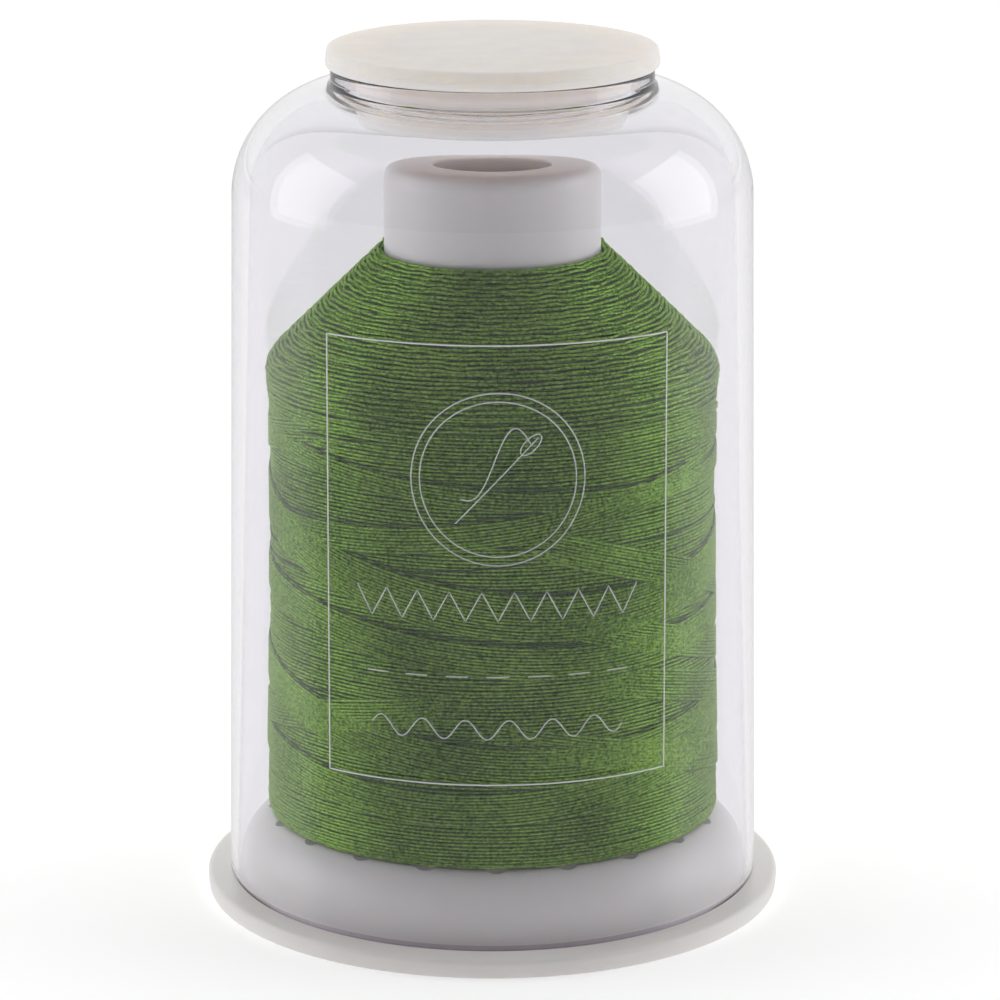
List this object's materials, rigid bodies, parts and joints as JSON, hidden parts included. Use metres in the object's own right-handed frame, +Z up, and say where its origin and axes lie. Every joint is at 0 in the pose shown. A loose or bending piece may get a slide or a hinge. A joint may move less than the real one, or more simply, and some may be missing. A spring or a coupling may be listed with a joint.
{
  "type": "thread spool",
  "caption": "Spool of green embroidery thread on a white moulded core with a wide flange, under a clear lift-off cover with a pull-out stopper.",
  "frame": {"origin": "middle of the underside of the flange, on the floor", "axes": "+Z up along the axis that every piece is turned about; -Y is the front, where the raised frame on the cover is"},
  "size_m": [0.0486, 0.0486, 0.072],
  "materials": {
    "white_plastic": "injection moulded, semi-gloss",
    "thread": "twisted embroidery yarn with a soft lustre",
    "clear_plastic": "clear, polished mould",
    "frosted_silicone": "soft, slightly translucent"
  },
  "bodies": {
    "spool": {"spool": "white_plastic", "winding": "thread"},
    "cover": {"cover": "clear_plastic"},
    "stopper": {"stopper": "frosted_silicone"}
  },
  "joints": [
    {"name": "cover_lift", "type": "slide", "parent": "spool", "child": "cover", "axis": [0, 0, 1], "range_m": [0, 0.075]},
    {"name": "stopper_pull", "type": "slide", "parent": "cover", "child": "stopper", "axis": [0, 0, 1], "range_m": [0, 0.03]}
  ]
}
